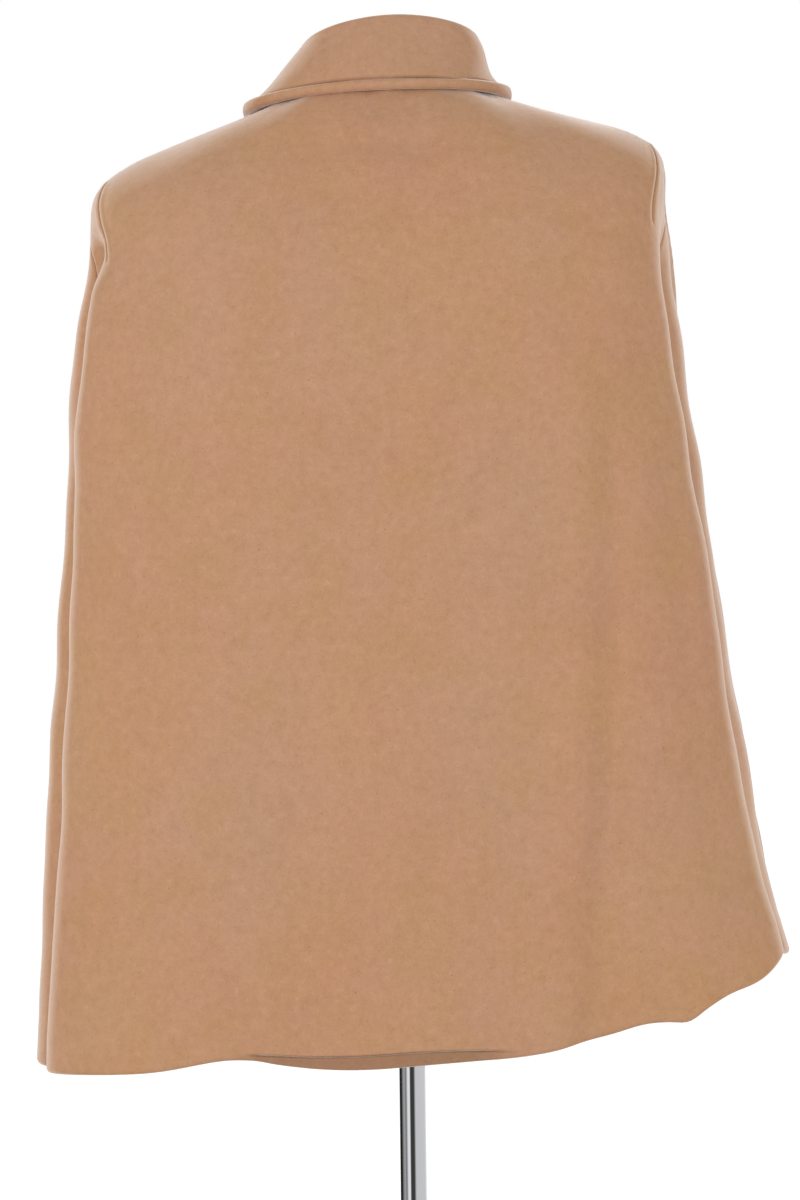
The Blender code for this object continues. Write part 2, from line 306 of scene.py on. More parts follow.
# %% Rings
Ring = namedtuple("Ring", "name left right back front z_left z_right z_back z_front square seam")
CAPE_RINGS = (
    Ring("neckline", 0.076, 0.076, 0.064, 0.078, 1.399, 1.400, 1.410, 1.350, 2.2, -4),
    Ring("under_collar", 0.115, 0.115, 0.087, 0.104, 1.382, 1.3860, 1.389, 1.322, 2.3, -4),
    Ring("shoulder_mid", 0.168, 0.168, 0.108, 0.128, 1.3655, 1.3715, 1.350, 1.288, 2.5, -4),
    Ring("shoulder_out", 0.212, 0.211, 0.124, 0.146, 1.348, 1.357, 1.310, 1.250, 2.7, -3),
    Ring("shoulder_tip", 0.238, 0.234, 0.134, 0.158, 1.326, 1.337, 1.268, 1.208, 2.9, 0),
    Ring("shoulder_end", 0.2445, 0.2355, 0.138, 0.164, 1.290, 1.298, 1.226, 1.166, 3.0, 6),
    Ring("dart_end", 0.251, 0.240, 0.140, 0.168, 1.250, 1.256, 1.186, 1.126, 3.0, 14),
    Ring("chest", 0.267, 0.2465, 0.141, 0.172, 1.170, 1.170, 1.110, 1.050, 3.0, 17),
    Ring("waist", 0.280, 0.2625, 0.143, 0.178, 1.030, 1.030, 0.990, 0.930, 3.0, 17),
    Ring("hip", 0.295, 0.2785, 0.148, 0.186, 0.880, 0.880, 0.850, 0.800, 3.0, 17),
    Ring("thigh", 0.308, 0.2970, 0.154, 0.194, 0.740, 0.750, 0.720, 0.675, 3.0, 16),
    Ring("hem", 0.319, 0.314, 0.160, 0.200, 0.602, 0.684, 0.609, 0.568, 3.0, 15),
)
LEAN = 1.7
LEAN_HEIGHT = 0.770


def rows_at(table, down):
    """The table's numbers at places between its rows, as one array for each named column."""
    numbers = np.array([row[1:] for row in table], float)
    spans = len(table) - 1
    place = np.clip(np.asarray(down, float), 0, 1) * spans
    i = np.minimum(place.astype(int), spans - 1)
    f = (place - i)[:, None]
    a, b = numbers[np.maximum(i - 1, 0)], numbers[i]
    c, d = numbers[i + 1], numbers[np.minimum(i + 2, spans)]
    bend, twist = 2 * a - 5 * b + 4 * c - d, 3 * b - a - 3 * c + d
    curve = b + 0.5 * ((c - a) * f + bend * f**2 + twist * f**3)
    return dict(zip(table[0]._fields[1:], curve.T))


def ring_points(ring, angle):
    """Points on rings, and the level way out from the cloth at each."""
    c, s = np.cos(np.radians(angle)), np.sin(np.radians(angle))
    square = ring["square"]
    scale = (abs(c) ** square + abs(s) ** square) ** (-1 / square)
    across = np.where(c > 0, ring["left"], ring["right"])
    deep = np.where(s > 0, ring["back"], ring["front"])
    z_side = np.where(c > 0, ring["z_left"], ring["z_right"])
    z_deep = np.where(s > 0, ring["z_back"], ring["z_front"])
    points = np.stack([across * scale * c, deep * scale * s, z_side * c * c + z_deep * s * s], 1)
    out_x = abs(scale * c) ** (square - 1) / across * np.sign(c)
    out_y = abs(scale * s) ** (square - 1) / deep * np.sign(s)
    out = np.stack([out_x, out_y, np.zeros_like(out_x)], 1)
    return points, out / np.linalg.norm(out, axis=1, keepdims=True)


def smooth(x):
    x = np.clip(x, 0, 1)
    return x * x * (3 - 2 * x)


def bell(distance, width):
    """1 at no distance, falling softly to nothing a few widths away."""
    return np.exp(-((distance / width) ** 2))


print("rings", [ring.name for ring in CAPE_RINGS])

# %% [markdown]
# ## Folds
#
# Heavy wool makes few folds, and each has a cause. At each shoulder end the dart throws the cloth
# out, so the back turns a soft corner there, sinks into a trough, and the side swings out again
# beyond it. One long fold runs down the right of the back. A fold is one row: where it lies at the
# top and at the hem, how wide, and how deep. The front, which nobody sees here, gets four like
# them.

# %% The folds
Fold = namedtuple(
    "Fold", "name place_top place_hem z_top z_hem width_top width_hem depth_top depth_hem"
)
FOLDS = (
    Fold("left_side_trough", 19, 19, 1.295, 1.100, 7, 7, -0.019, -0.009),
    Fold("left_side_deepens", 19, 19, 1.120, 0.600, 7, 7, -0.009, -0.004),
    Fold("left_side_ridge", 31, 30, 1.270, 1.030, 8, 9, 0.007, 0.000),
    Fold("left_dart_trough", 41, 47, 1.265, 1.000, 5, 8, -0.003, -0.001),
    Fold("right_side_trough", 163, 162, 1.305, 0.700, 9, 7, -0.022, -0.008),
    Fold("right_side_ridge", 149, 149, 1.280, 0.600, 8, 8, 0.003, 0.002),
    Fold("back_ridge", 126, 109, 1.200, 0.560, 3, 4, 0.002, 0.004),
    Fold("back_trough", 131, 114, 1.150, 0.560, 3, 4, -0.003, -0.006),
    Fold("hem_notch", 66, 65, 0.740, 0.560, 3, 3, -0.002, -0.006),
    Fold("left_front_trough", -22, -20, 1.240, 0.540, 8, 9, -0.006, -0.012),
    Fold("left_front_fold", -58, -54, 1.180, 0.540, 8, 9, -0.003, -0.010),
    Fold("right_front_trough", 203, 200, 1.240, 0.560, 8, 9, -0.006, -0.010),
    Fold("right_front_fold", 239, 233, 1.150, 0.540, 8, 10, -0.003, -0.011),
)
Lift = namedtuple("Lift", "name place width height")
HEM_LIFTS = (
    Lift("left_corner", -2, 14, 0.004),
    Lift("left_front_rise", -52, 16, 0.026),
    Lift("back_left_notch", 64, 8, 0.0085),
    Lift("back_middle_dip", 83, 11, -0.004),
    Lift("back_centre_dip", 106, 9, -0.003),
    Lift("back_right_dip", 130, 8, -0.0055),
    Lift("back_right_rise", 122, 4, 0.0035),
    Lift("back_right_corner", 128.5, 2, -0.0030),
    Lift("back_corner_rise", 135, 5.5, 0.0055),
    Lift("right_side_rise", 153, 8, 0.006),
    Lift("right_corner_drop", 178, 12, -0.014),
    Lift("right_front_rise", 215, 21, 0.034),
)
LIFT_FROM = 0.80
FOLD_STARTS = 0.14


def fold_depth(angle, z, folds):
    """How far the folds together move the cloth out."""
    total = np.zeros_like(z)
    for fold in folds:
        down = (fold.z_top - z) / (fold.z_top - fold.z_hem)
        reach = np.clip(down, 0, 1)
        place = fold.place_top + (fold.place_hem - fold.place_top) * reach
        width = fold.width_top + (fold.width_hem - fold.width_top) * reach
        depth = fold.depth_top + (fold.depth_hem - fold.depth_top) * reach
        total += depth * smooth(down / FOLD_STARTS) * bell(angle - place, width)
    return total


def hem_lift(down, angle):
    lifts = sum(lift.height * bell(angle - lift.place, lift.width) for lift in HEM_LIFTS)
    return smooth((down - LIFT_FROM) / (1 - LIFT_FROM)) * lifts


def cape_points(down, angle):
    """Points on the cape's outer face, in the garment's own upright frame."""
    points, out = ring_points(rows_at(CAPE_RINGS, down), angle)
    points = points + out * fold_depth(angle, points[:, 2], FOLDS)[:, None]
    points[:, 2] += hem_lift(down, angle)
    return points


print("folds", len(FOLDS), "hem lifts", len(HEM_LIFTS))

# %% [markdown]
# ## Which way is out, and how far is a step
#
# Seams, stitches and thickness are measured in metres on the cloth, while a sheet is laid out in
# degrees round the body and shares down it. Looking a small step each way gives both: the cross
# product of the two steps is the way out, and their lengths say how many metres a degree and a
# share are.

# %% Steps on the cloth
Patch = namedtuple("Patch", "points out downward degree share")
STEP_DOWN = 0.003
STEP_ANGLE = 0.5


def length(vectors):
    return np.linalg.norm(vectors, axis=-1)


def unit(vectors):
    return vectors / length(vectors)[..., None]


def patch_of(surface, down, angle):
    """The surface at (down, angle): points, normals, the way down, metres a degree and a share."""
    low, high = np.minimum(down + STEP_DOWN, 1), np.maximum(down - STEP_DOWN, 0)
    falling = surface(low, angle) - surface(high, angle)
    along = surface(down, angle + STEP_ANGLE) - surface(down, angle - STEP_ANGLE)
    return Patch(
        surface(down, angle),
        unit(np.cross(falling, along)),
        unit(falling),
        length(along) / (2 * STEP_ANGLE),
        length(falling) / (low - high),
    )


LEAN_TURN = np.array(
    Matrix.Translation((0, 0, LEAN_HEIGHT))
    @ turn(LEAN, "Y")
    @ Matrix.Translation((0, 0, -LEAN_HEIGHT))
)


def leaned(points):
    """The garment and its form lean a little to the wearer's left on the upright pole."""
    return points @ LEAN_TURN[:3, :3].T + LEAN_TURN[:3, 3]


near_hem = patch_of(cape_points, np.array([0.9]), np.array([90.0]))
print("at the back near the hem one share is", round(float(near_hem.share[0]), 3), "m")

# %% [markdown]
# ## Giving a sheet its thickness
#
# Every cloth is a closed skin: a grid of points for its outer face, the same grid moved in by the
# cloth's thickness for its inner face, and one shared line of points round the border. Towards the
# border the two faces close in on each other along a quarter circle, because a thick wool edge is
# soft and never square. Solidify and Bevel could do this, but they leave spikes where a fold is
# tight, and here the rim's roundness is a formula. The run of the cloth in metres is kept as a UV
# map, so the nap follows the cut.

# %% Cloth skin
CLOTH = 0.003
RIM_STEPS = np.array([0, 0.00012, 0.00045, 0.0009, 0.0015, 0.0022, 0.0031, 0.0042, 0.006])


def runs(points, axis):
    """How far each grid point is along its line, and how far from the line's end, in metres."""
    steps = length(np.diff(points, axis=axis))
    start = np.zeros_like(points[..., 0])
    later = [slice(None), slice(None)]
    later[axis] = slice(1, None)
    start[tuple(later)] = np.cumsum(steps, axis=axis)
    return start, np.max(start, axis=axis, keepdims=True) - start


def skin(name, points, thickness, finish, plump=0.0, wrong_side=None):
    """A closed cloth on a grid of outer points; plump swells both faces, and a stored share of
    painted shade darkens the base colour.
    """
    out = unit(np.cross(np.gradient(points, axis=0), np.gradient(points, axis=1)))
    across, across_back = runs(points, 1)
    down, down_back = runs(points, 0)
    border = np.minimum(np.minimum(across, across_back), np.minimum(down, down_back))
    half = thickness / 2 + plump
    closing = np.clip(border / half, 0, 1)
    reach = (half * np.sqrt(1 - (1 - closing) ** 2))[..., None]
    middle = points - out * thickness / 2
    rows, columns = border.shape
    outer = np.arange(rows * columns).reshape(rows, columns)
    inner = outer + rows * columns
    inner[0], inner[-1], inner[:, 0], inner[:, -1] = outer[0], outer[-1], outer[:, 0], outer[:, -1]

    def quads(ids):
        return np.stack([ids[:-1, :-1], ids[1:, :-1], ids[1:, 1:], ids[:-1, 1:]], 2).reshape(-1, 4)

    faces = np.concatenate([quads(outer), quads(inner)[:, ::-1]])
    verts = np.concatenate([middle + out * reach, middle - out * reach]).reshape(-1, 3)
    mesh = bpy.data.meshes.new(name)
    mesh.from_pydata(verts, [], faces)
    flat = np.stack([across - across[:, columns // 2, None], down], 2).reshape(-1, 2)
    cut = mesh.uv_layers.new(name="cut")
    cut.uv.foreach_set("vector", np.tile(flat, (2, 1))[faces.ravel()].ravel())
    if wrong_side is not None:
        shade = mesh.attributes.new("wrong_side", "FLOAT", "POINT")
        shade.data.foreach_set("value", np.tile(wrong_side.ravel(), 2).astype(np.float32))
    mesh.validate()
    loose = bmesh.new()
    loose.from_mesh(mesh)
    bmesh.ops.delete(loose, geom=[v for v in loose.verts if not v.link_faces], context="VERTS")
    loose.to_mesh(mesh)
    loose.free()
    return add_object(name, mesh, finish)


def add_object(name, mesh, finish):
    mesh.materials.append(finish.owner)
    mesh.shade_smooth()
    item = bpy.data.objects.new(name, mesh)
    scene.collection.objects.link(item)
    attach(item, "root")
    return item


def spaced(*stretches):
    """Rising places made of stretches (start, end, steps), joined end to end."""
    places = [np.linspace(start, end, steps, endpoint=False) for start, end, steps in stretches]
    return np.append(np.concatenate(places), stretches[-1][1])


print("cloth", CLOTH * 1000, "mm thick, rim in", len(RIM_STEPS), "steps")

# %% [markdown]
# ## Brushed wool
#
# Melton is milled and brushed until its weave is gone, and what is left is a short nap. Close to,
# it shows fine fibres lying mostly one way, soft clumps a few millimetres across, and slow drifts
# between a yellower and a pinker camel. Where the cloth turns away from the eye it looks paler:
# the shader's sheen gives part of that, and the rest is painted sheen, a blend of the base colour
# towards a pale camel by how far the surface faces away. Where the hem rolls under, and along the
# collar's stitch groove, the base colour is darkened with painted shade. The noises are laid in
# metres, the lying fibres and burrs on the cut and all others through space.

# %% Wool
CAMEL_YELLOW = colour(176, 136, 97)
CAMEL_PINK = colour(176, 129, 100)
CAMEL_GREY = colour(174, 136, 109)
CAMEL_ROSE = colour(181, 136, 110)
# Pale camel for the painted sheen where the cloth turns away from the eye.
CAMEL_PAINTED_SHEEN = colour(226, 198, 178)
CAMEL_DEEP = colour(173, 132, 91)
CAMEL_DARK = colour(148, 105, 75)
# Dark camel for the painted shade under the rolled hem and in the collar's stitch groove.
CAMEL_PAINTED_SHADE = colour(84, 58, 40)
CAMEL_PALE = colour(200, 160, 130)


def make_wool():
    wool = Finish("camel_wool")
    cut = wool.place("UV")
    around = wool.place("Object")
    drift = wool.noise(around, 7, 4, 0.55)
    grey = wool.noise(wool.stretched(around, (6, 6, 4)), 1, 4, 0.6)
    blotch = wool.noise(around, 22, 4, 0.6)
    clump = wool.noise(around, 140, 4, 0.6)
    fibre = wool.noise(around, 620, 3, 0.7)
    cross = wool.noise(wool.stretched(cut, (430, 330, 1), 90), 1, 3, 0.7)
    fleck = wool.noise(around, 480, 2, 0.5)
    dots = wool.node("ShaderNodeTexVoronoi", {}, {"Vector": cut, "Scale": 70.0})
    body = CAMEL_YELLOW
    for cloud, low, high, tint in (
        (drift, (0.25, 0.0), (0.75, 1.0), CAMEL_PINK),
        (grey, (0.35, 0.0), (0.75, 1.0), CAMEL_GREY),
        (blotch, (0.46, 0.0), (0.66, 0.4), CAMEL_ROSE),
        (blotch, (0.32, 0.35), (0.48, 0.0), CAMEL_DEEP),
    ):
        body = wool.blend(wool.ramp(cloud, (low, high)), body, tint)
    tone = clump * 0.45 + fibre * 0.35 + cross * 0.20
    for mark, low, high, share, tint in (
        (tone, (0.30, 1.0), (0.50, 0.0), 0.45, CAMEL_DARK),
        (tone, (0.52, 0.0), (0.72, 1.0), 0.45, CAMEL_PALE),
        (fleck, (0.68, 0.0), (0.76, 1.0), 0.6, CAMEL_DARK),
        (dots, (0.030, 1.0), (0.055, 0.0), 0.8, CAMEL_DARK),
    ):
        body = wool.blend(wool.ramp(mark, (low, high)) * share, body, tint)
    # Painted shade: a stored share darkens the base colour on the rolled hem strip and in the
    # collar's stitch groove.
    wrong_side = wool.node("ShaderNodeAttribute", {"attribute_name": "wrong_side"}, {}, "Fac")
    body = wool.blend(wrong_side, body, CAMEL_PAINTED_SHADE)
    # Painted sheen: the base colour is blended towards pale camel as the surface faces away from
    # the eye.
    grazing = wool.node("ShaderNodeLayerWeight", {}, {"Blend": 0.5}, "Facing")
    painted_sheen = wool.ramp(grazing, ((0.45, 0.0), (0.80, 0.55), (1.0, 0.85)))
    body = wool.blend(painted_sheen, body, CAMEL_PAINTED_SHEEN)
    height = clump * 0.5 + fibre * 0.3 + cross * 0.2
    wool.surface({
        "Base Color": body,
        "Roughness": 0.92,
        "Specular IOR Level": 0.2,
        "Sheen Weight": 1.0,
        "Sheen Roughness": 0.30,
        "Sheen Tint": (1.0, 0.92, 0.88, 1),
    })
    wool.raised(height, 0.0009)
    return wool


wool = make_wool()
print("wool", len(wool.tree.nodes), "nodes")

# %% [markdown]
# ## What the cloth does between the folds
#
# Between its folds a hung cloth is never quite plain. A handful of long, faint waves, chosen
# once by a fixed seed, keeps the light moving over it. Under the collar the cloth ripples across,
# where it is held up by the neck, and the turned hem prints a shallow step on the outside.

# %% Waves, ripples and the print of the hem
WAVES = 16
WAVE_HEIGHT = 0.00034
Ripple = namedtuple("Ripple", "name place width z height depth")
RIPPLES = (
    Ripple("first_roll", 92, 20, 1.362, 0.011, 0.0016),
    Ripple("first_sink", 96, 22, 1.343, 0.008, -0.0009),
    Ripple("second_roll", 84, 24, 1.325, 0.010, 0.0011),
    Ripple("second_sink", 104, 26, 1.300, 0.014, -0.0012),
    Ripple("blade_left", 62, 10, 1.235, 0.040, 0.0012),
    Ripple("blade_right", 116, 10, 1.250, 0.040, 0.0010),
    Ripple("front_left_soft", -62, 10, 1.190, 0.040, 0.0015),
    Ripple("front_right_soft", 246, 12, 1.170, 0.045, 0.0015),
)
CREASES = (
    Fold("back_left_faint", 78, 74, 1.150, 0.620, 4, 5, -0.0012, -0.0022),
    Fold("back_middle_faint", 97, 94, 0.900, 0.560, 4, 5, 0.0004, 0.0016),
    Fold("back_right_hollow", 141, 137, 1.120, 0.640, 3, 4, -0.0016, -0.0010),
    Fold("back_fold_line", 130, 113, 1.050, 0.600, 1.6, 1.8, -0.0005, -0.0008),
    Fold("hem_fold_side", 70, 70, 0.700, 0.560, 2, 2, 0.0008, 0.0030),
    Fold("hem_fold_crease", 66.5, 66.5, 0.680, 0.560, 1.2, 1.2, -0.0006, -0.0026),
    Fold("hem_corner_fold", 124, 126, 0.690, 0.580, 2, 2, -0.0006, -0.0030),
    Fold("front_left_faint", -76, -73, 1.000, 0.560, 4, 5, -0.0010, -0.0024),
    Fold("front_right_faint", 252, 249, 0.950, 0.560, 4, 6, 0.0010, 0.0024),
)
HEM_DEPTH = 0.042
HEM_PRINT = 0.00035
UNDER_FROM = 65
UNDER_TO = 106
UNDER_BAND = 0.0125
UNDER_STEP = 0.0030
UNDER_TUCK = 0.0080
UNDER_GROOVE = 0.0024
UNDER_EDGE = 0.0010
UNDER_GROOVE_WIDTH = 0.0008
UNDER_EASE_IN = 3
UNDER_EASE_OUT = 8
# How strongly painted shade darkens the rolled strip, and its crease at the strip's top.
UNDER_SHADE = 0.30
UNDER_CREASE_SHADE = 0.75
UNDER_CREASE_SHADE_WIDTH = 0.0011
wave_maker = np.random.default_rng(12)
wave_length = wave_maker.uniform(0.055, 0.19, WAVES)
wave_heading = wave_maker.uniform(0, 2 * pi, WAVES)
wave_start = wave_maker.uniform(0, 2 * pi, WAVES)


def waves(points):
    """Faint waves over the whole cape, taken from where the points are."""
    round_it = np.arctan2(points[:, 1], points[:, 0]) * 0.25
    height = np.zeros(len(points))
    for size, heading, start in zip(wave_length, wave_heading, wave_start):
        along = round_it * np.cos(heading) + points[:, 2] * np.sin(heading)
        height += np.sin(along * 2 * pi / size + start) * size / 0.12
    return height * WAVE_HEIGHT


def ripples(angle, z):
    return sum(r.depth * bell(angle - r.place, r.width) * bell(z - r.z, r.height) for r in RIPPLES)


def hem_print(to_hem):
    """The outside stands out over the turned hem and drops over its inner edge."""
    return HEM_PRINT * smooth((HEM_DEPTH + 0.004 - to_hem) / 0.008)


def under_band(angle):
    """How deep the rolled strip is at an angle, and how far the roll is on there, 0 to 1."""
    share = np.clip((angle - UNDER_FROM) / (UNDER_TO - UNDER_FROM), 0, 1)
    started = smooth((angle - UNDER_FROM) / UNDER_EASE_IN)
    ending = smooth((UNDER_TO - angle) / UNDER_EASE_OUT)
    return UNDER_BAND * np.sin(pi * share) ** 0.5, started * ending


def rolled_under(angle, to_hem):
    """At the middle of the back the pressed edge stands proud, and the hem rolls under below it."""
    band, inside = under_band(angle)
    below = np.maximum(band - to_hem, 0)
    tuck = UNDER_TUCK * np.minimum(below / UNDER_BAND, 1)
    groove = UNDER_GROOVE * bell(to_hem - band, UNDER_GROOVE_WIDTH)
    return -inside * (UNDER_STEP * smooth(below / UNDER_EDGE) + tuck + groove)


def painted_shade_at(angle, to_hem):
    """How much painted shade darkens the base colour: on the rolled strip, and most along the
    crease at its top.
    """
    band, inside = under_band(angle)
    line = UNDER_CREASE_SHADE * bell(to_hem - band, UNDER_CREASE_SHADE_WIDTH)
    return inside * np.maximum(UNDER_SHADE * (to_hem < band), line)


print("waves", WAVES, "ripples", len(RIPPLES), "faint creases", len(CREASES))

# %% [markdown]
# ## Shoulder darts
#
# A dart is a wedge of cloth sewn out of the shoulder end, so that a flat cloth can turn down over
# the arm. From outside it is a line about eight centimetres long: the cloth dips sharply into the
# seam and swells a little on each side of it.

# %% Darts
Dart = namedtuple("Dart", "name down_top angle_top down_end angle_end bow")
DARTS = (
    Dart("left_dart", 0.352, 20.0, 0.478, 32.0, 1.0),
    Dart("right_dart", 0.338, 161.0, 0.462, 148.5, -4.0),
)
DART_SINK = 0.0034
DART_HALF_WIDTH = 0.0008
DART_SWELL = 0.0007


def dart_line(dart, down):
    """How far along the dart a height is, 0 to 1, and the dart's angle there."""
    along = (down - dart.down_top) / (dart.down_end - dart.down_top)
    bowed = dart.bow * 4 * along * (1 - along)
    return along, dart.angle_top + (dart.angle_end - dart.angle_top) * along + bowed


def dart_relief(down, angle, degree):
    relief = np.zeros_like(down)
    for dart in DARTS:
        along, place = dart_line(dart, down)
        beside = (angle - place) * degree * 0.9
        sewn = smooth((along + 0.25) / 0.1) * smooth((1.02 - along) / 0.12)
        sink = -DART_SINK * bell(beside, DART_HALF_WIDTH)
        swell = DART_SWELL * bell(abs(beside) - 0.006, 0.004)
        relief += (sink + swell) * sewn
    return relief


print("darts", [dart.name for dart in DARTS])

# %% [markdown]
# ## The turned hem
#
# The hem is cloth turned up inside and caught down by hand. So each sheet runs on past its lower
# edge: round a fold as thick as two cloths, and up the inside for four centimetres. Seen from
# below the edge is round and double, as a real one is. The same step adds what all the panels
# share: waves, ripples and the faint creases.

# %% Hem
HEM_RADIUS = 0.0033
FALL = 0.90
HEM_LINE = 1 - HEM_RADIUS / FALL
TURN_LENGTH = pi * HEM_RADIUS
HEM_END = HEM_LINE + (TURN_LENGTH + HEM_DEPTH) / FALL


def hung(down, angle, relief):
    """Outer points of a panel: places past HEM_LINE go round the hem's fold and up inside."""
    shape = down.shape
    down, angle = down.ravel(), angle.ravel()
    past = np.maximum(down - HEM_LINE, 0) * FALL
    bend = pi * np.clip(past / TURN_LENGTH, 0, 1)
    inside = np.maximum(past - TURN_LENGTH, 0)
    on_cape = np.where(past > 0, HEM_LINE - inside / FALL, down)
    patch = patch_of(cape_points, on_cape, angle)
    from_start, from_end = runs(patch.points.reshape(*shape, 3), 1)
    raised = relief(on_cape, angle, patch, from_start.ravel(), from_end.ravel())
    raised += waves(patch.points) + ripples(angle, patch.points[:, 2])
    raised += fold_depth(angle, patch.points[:, 2], CREASES)
    to_hem = (1 - on_cape) * patch.share
    raised += hem_print(to_hem) * (past == 0) + rolled_under(angle, to_hem)
    out = raised - HEM_RADIUS * (1 - np.cos(bend))
    lower = HEM_RADIUS * np.sin(bend)
    points = patch.points + patch.out * out[:, None] + patch.downward * lower[:, None]
    return leaned(points).reshape(*shape, 3)


RIM_DOWN = RIM_STEPS / FALL
down_cape = np.concatenate([
    RIM_DOWN,
    spaced((0.008, 0.30, 32), (0.30, 0.50, 30), (0.50, 0.976, 66), (0.976, HEM_LINE, 26),
           (HEM_LINE, HEM_LINE + TURN_LENGTH / FALL, 8),
           (HEM_LINE + TURN_LENGTH / FALL, HEM_END - 0.008, 5)),
    HEM_END - RIM_DOWN[::-1],
])
print("hem turned up", HEM_DEPTH * 1000, "mm,", len(down_cape), "rows")

# %% [markdown]
# ## Seams, and the lines of a panel
#
# The shoulder-and-side seam joins front to back: over the shoulder, round its end, and down in the
# trough beside the arm. Pressed open, it makes a shallow groove, because each cloth rolls in as it
# reaches the stitching. A panel's grid lines start with the rim's own steps, in metres, and then
# spread evenly.

# %% Seams
SEAM_ROLL = 0.0008
SEAM_WIDTH = 0.0024
PIECE_GAP = 0.0003


def seam_angle(down, side):
    seam = rows_at(CAPE_RINGS, down)["seam"]
    return seam if side > 0 else 180 - seam


def rolled(from_seam):
    return -SEAM_ROLL * bell(from_seam, SEAM_WIDTH)


def lines_between(surface, down, start, end, rim, inner):
    """The angle of every grid point: rim steps in metres at both ends, and shares between."""
    first = start[:, None] + rim / patch_of(surface, down, start).degree[:, None]
    last = end[:, None] - rim[::-1] / patch_of(surface, down, end).degree[:, None]
    low, high = first[:, -1:], last[:, :1]
    return np.concatenate([first, low + (high - low) * inner, last], axis=1)


print("seam groove", SEAM_ROLL * 1000, "mm deep")

# %% [markdown]
# ## The back
#
# One piece from side seam to side seam, with a dart at each shoulder end. It is the biggest piece
# and the one that shows. Its grid lines crowd together along each dart, following it down, so that
# the narrow dip is drawn without splitting the rest of the cloth.

# %% Back
BACK_LINES = 196
DART_LINES = 22
DART_BAND = 0.010


def back_inner(down, start, end):
    """Shares across the back for each row, crowded round both darts."""
    height = np.clip(down, 0.30, 0.50)
    degree = patch_of(cape_points, height, start + 20).degree
    band = DART_BAND / degree / (end - start)
    (_, left), (_, right) = (dart_line(dart, height) for dart in DARTS)
    left, right = (left - start) / (end - start), (right - start) / (end - start)
    ease = smooth((down - 0.10) / 0.20) * smooth((0.80 - down) / 0.30)
    count = np.linspace(0, 1, BACK_LINES + 2)[1:-1]
    share = DART_LINES / BACK_LINES
    even_left, even_right = 0.13, 0.87
    rows = []
    for at_left, at_right, wide, loose in zip(left, right, band, ease):
        at_left = even_left + (at_left - even_left) * loose
        at_right = even_right + (at_right - even_right) * loose
        wide = share / 2 + (wide - share / 2) * loose
        marks = (0, at_left - wide, at_left + wide, at_right - wide, at_right + wide, 1)
        counts = (0, even_left - share / 2, even_left + share / 2,
                  even_right - share / 2, even_right + share / 2, 1)
        rows.append(np.interp(count, counts, marks))
    return np.array(rows)


def back_relief(down, angle, patch, from_start, from_end):
    return rolled(np.minimum(from_start, from_end)) + dart_relief(down, angle, patch.degree)


on_cape = np.clip(down_cape, 0, HEM_LINE)
back_start, back_end = seam_angle(on_cape, 1), seam_angle(on_cape, -1)
back_shares = back_inner(down_cape, back_start, back_end)
back_lines = lines_between(cape_points, on_cape, back_start, back_end, RIM_STEPS, back_shares)
back_rows = np.repeat(down_cape[:, None], back_lines.shape[1], axis=1)
back_points = hung(back_rows, back_lines, back_relief)
# The rolled strip at the hem and the crease above it get painted shade in the base colour.
from_hem = (1 - np.clip(back_rows, 0, HEM_LINE)) * FALL
back = skin("back_panel", back_points, CLOTH, wool, wrong_side=painted_shade_at(back_lines, from_hem))
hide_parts("back")
print("back", len(back.data.polygons), "faces")

# %% [markdown]
# ## The fronts
#
# The fronts meet at the centre and lap: the wearer's right over the left. Nothing shows on the
# outside, so the fastening is hidden between the layers. The upper front climbs over the lower
# one's edge, and both edges are sewn nine millimetres in, which pulls a fine groove in the cloth.

# %% Fronts
LAP = 0.060
LAP_RAMP = 0.030
STITCH_IN = 0.009
STITCH_SINK = 0.0008
STITCH_WIDTH = 0.0010
LAP_HEM_REACH = 0.024
LAP_HEM_EASE = 0.012
FRONT_LINES = spaced((0.002, 0.08, 18), (0.08, 0.998, 106))


def lap_angle(down, side):
    """The angle of a front's free edge, half the lap past the centre front."""
    ring = rows_at(CAPE_RINGS, down)
    reach = ring["right"] if side > 0 else ring["left"]
    past_middle = np.degrees(np.arccos(LAP / 2 / reach))
    return -180 + past_middle if side > 0 else 360 - past_middle


def edge_groove(from_edge):
    return -STITCH_SINK * bell(from_edge - STITCH_IN, STITCH_WIDTH)


def front_relief(side):
    def relief(down, angle, patch, from_start, from_end):
        free, sewn = (from_start, from_end) if side > 0 else (from_end, from_start)
        raised = rolled(sewn) + edge_groove(free)
        if side < 0:
            climb = smooth((patch.points[:, 0] + LAP / 2 + LAP_RAMP) / LAP_RAMP)
            to_hem = (1 - down) * patch.share
            at_hem = smooth((HEM_DEPTH + LAP_HEM_REACH - to_hem) / LAP_HEM_EASE)
            raised = raised + (CLOTH + 3 * PIECE_GAP + 2 * HEM_RADIUS * at_hem) * climb
        return raised

    return relief


def make_front(name, side, node):
    """One front: its outer points, and the piece."""
    free, sewn = lap_angle(on_cape, side), seam_angle(on_cape, side)
    start, end = (free, sewn) if side > 0 else (sewn, free)
    inner = FRONT_LINES if side > 0 else 1 - FRONT_LINES[::-1]
    lines = lines_between(cape_points, on_cape, start, end, RIM_STEPS, inner)
    points = hung(np.repeat(down_cape[:, None], lines.shape[1], axis=1), lines, front_relief(side))
    panel = skin(name, points, CLOTH, wool)
    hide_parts(node)
    return points, panel


left_points, front_left = make_front("front_left_panel", 1, "front_left")
right_points, front_right = make_front("front_right_panel", -1, "front_right")
print("fronts", len(front_left.data.polygons), "faces each")

# %% [markdown]
# ## The collar
#
# The collar is a strip that stands up from the neckline, folds over and falls onto the shoulders.
# It is two cloths sewn together and turned, so it is nearly twice as thick and its edge is plump:
# the stitching nine millimetres in leaves a puffed rim that rests on the cape. The fold stands a
# little to the wearer's right, because the neck is upright while the cape leans.

